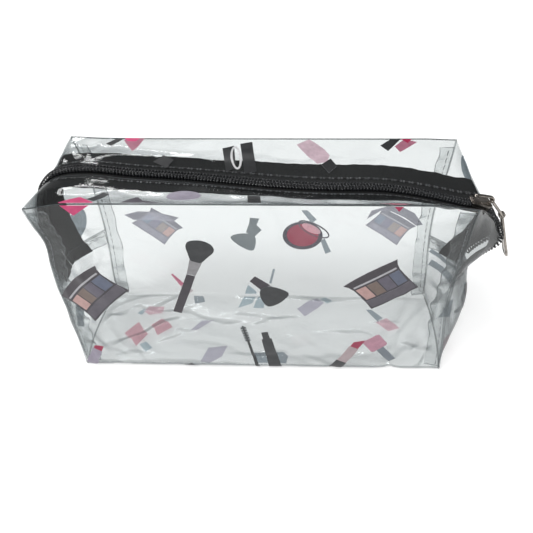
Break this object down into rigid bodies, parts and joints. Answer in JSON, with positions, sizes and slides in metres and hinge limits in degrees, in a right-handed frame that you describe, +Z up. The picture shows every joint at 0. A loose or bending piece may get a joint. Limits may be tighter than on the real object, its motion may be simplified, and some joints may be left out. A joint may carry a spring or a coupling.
{
  "type": "makeup bag",
  "caption": "Clear box-shaped makeup bag of folded sheet with a zip along its top and over both ends, and a metal slider with a link and tab.",
  "frame": {"origin": "centre of the base's underside", "axes": "+Z up, +X along the bag to the end where the slider rests when shut, front faces -Y"},
  "size_m": [0.2326, 0.059, 0.1077],
  "materials": {
    "clear_pvc": "clear glossy soft vinyl",
    "tape": "black woven polyester",
    "coil": "black nylon",
    "zip_thread": "grey polyester thread",
    "seam_thread": "clear monofilament thread",
    "metal": "warm nickel plating"
  },
  "bodies": {
    "bag": {"back_left_seam_allowance": "clear_pvc", "back_left_seam_thread": "seam_thread", "back_panel": "clear_pvc", "back_right_seam_allowance": "clear_pvc", "back_right_seam_thread": "seam_thread", "base_panel": "clear_pvc", "front_left_seam_allowance": "clear_pvc", "front_left_seam_thread": "seam_thread", "front_panel": "clear_pvc", "front_right_seam_allowance": "clear_pvc", "front_right_seam_thread": "seam_thread", "left_end_coil_back": "coil", "left_end_coil_front": "coil", "left_end_lower": "clear_pvc", "left_end_seam_allowance": "clear_pvc", "left_end_seam_thread": "seam_thread", "left_end_tape_back": "tape", "left_end_tape_front": "tape", "left_end_upper_back": "clear_pvc", "left_end_upper_front": "clear_pvc", "right_end_coil_back": "coil", "right_end_coil_front": "coil", "right_end_lower": "clear_pvc", "right_end_seam_allowance": "clear_pvc", "right_end_seam_thread": "seam_thread", "right_end_tape_back": "tape", "right_end_tape_front": "tape", "right_end_upper_back": "clear_pvc", "right_end_upper_front": "clear_pvc"},
    "slider": {"slider_body": "metal", "slider_bail": "metal"},
    "link": {"pull_link": "metal"},
    "tab": {"pull_tab": "metal"},
    "front_flap": {"front_top_strip": "clear_pvc", "front_zip_tape": "tape", "front_zip_coil": "coil", "front_zip_thread": "zip_thread"},
    "back_flap": {"back_top_strip": "clear_pvc", "back_zip_tape": "tape", "back_zip_coil": "coil", "back_zip_thread": "zip_thread"}
  },
  "joints": [
    {"name": "slider_travel", "type": "slide", "parent": "bag", "child": "slider", "axis": [-0.9948, 0, 0.1018], "range_m": [0, 0.18], "deforming": ["back_zip_coil", "back_zip_tape", "back_zip_thread", "front_zip_coil", "front_zip_tape", "front_zip_thread", "left_end_coil_back", "left_end_coil_front", "left_end_tape_back", "left_end_tape_front", "right_end_coil_back", "right_end_coil_front", "right_end_tape_back", "right_end_tape_front"]},
    {"name": "front_flap_fold", "type": "hinge", "parent": "bag", "child": "front_flap", "pos_m": [0, -0.02925, 0.10575], "axis": [1, 0, 0], "range_deg": [0, 75]},
    {"name": "back_flap_fold", "type": "hinge", "parent": "bag", "child": "back_flap", "pos_m": [0, 0.02925, 0.10575], "axis": [-1, 0, 0], "range_deg": [0, 75]},
    {"name": "link_swing", "type": "hinge", "parent": "slider", "child": "link", "pos_m": [0.10813, 0, 0.08982], "axis": [0, -1, 0], "range_deg": [0, 205]},
    {"name": "tab_swing", "type": "hinge", "parent": "link", "child": "tab", "pos_m": [0.11533, 0, 0.08124], "axis": [0, -1, 0], "range_deg": [0, 45]}
  ],
  "couplings": [
    {"joint": "front_flap_fold", "follows": "slider_travel", "rad_per_m": 7.2649},
    {"joint": "back_flap_fold", "follows": "slider_travel", "rad_per_m": 7.2649}
  ]
}
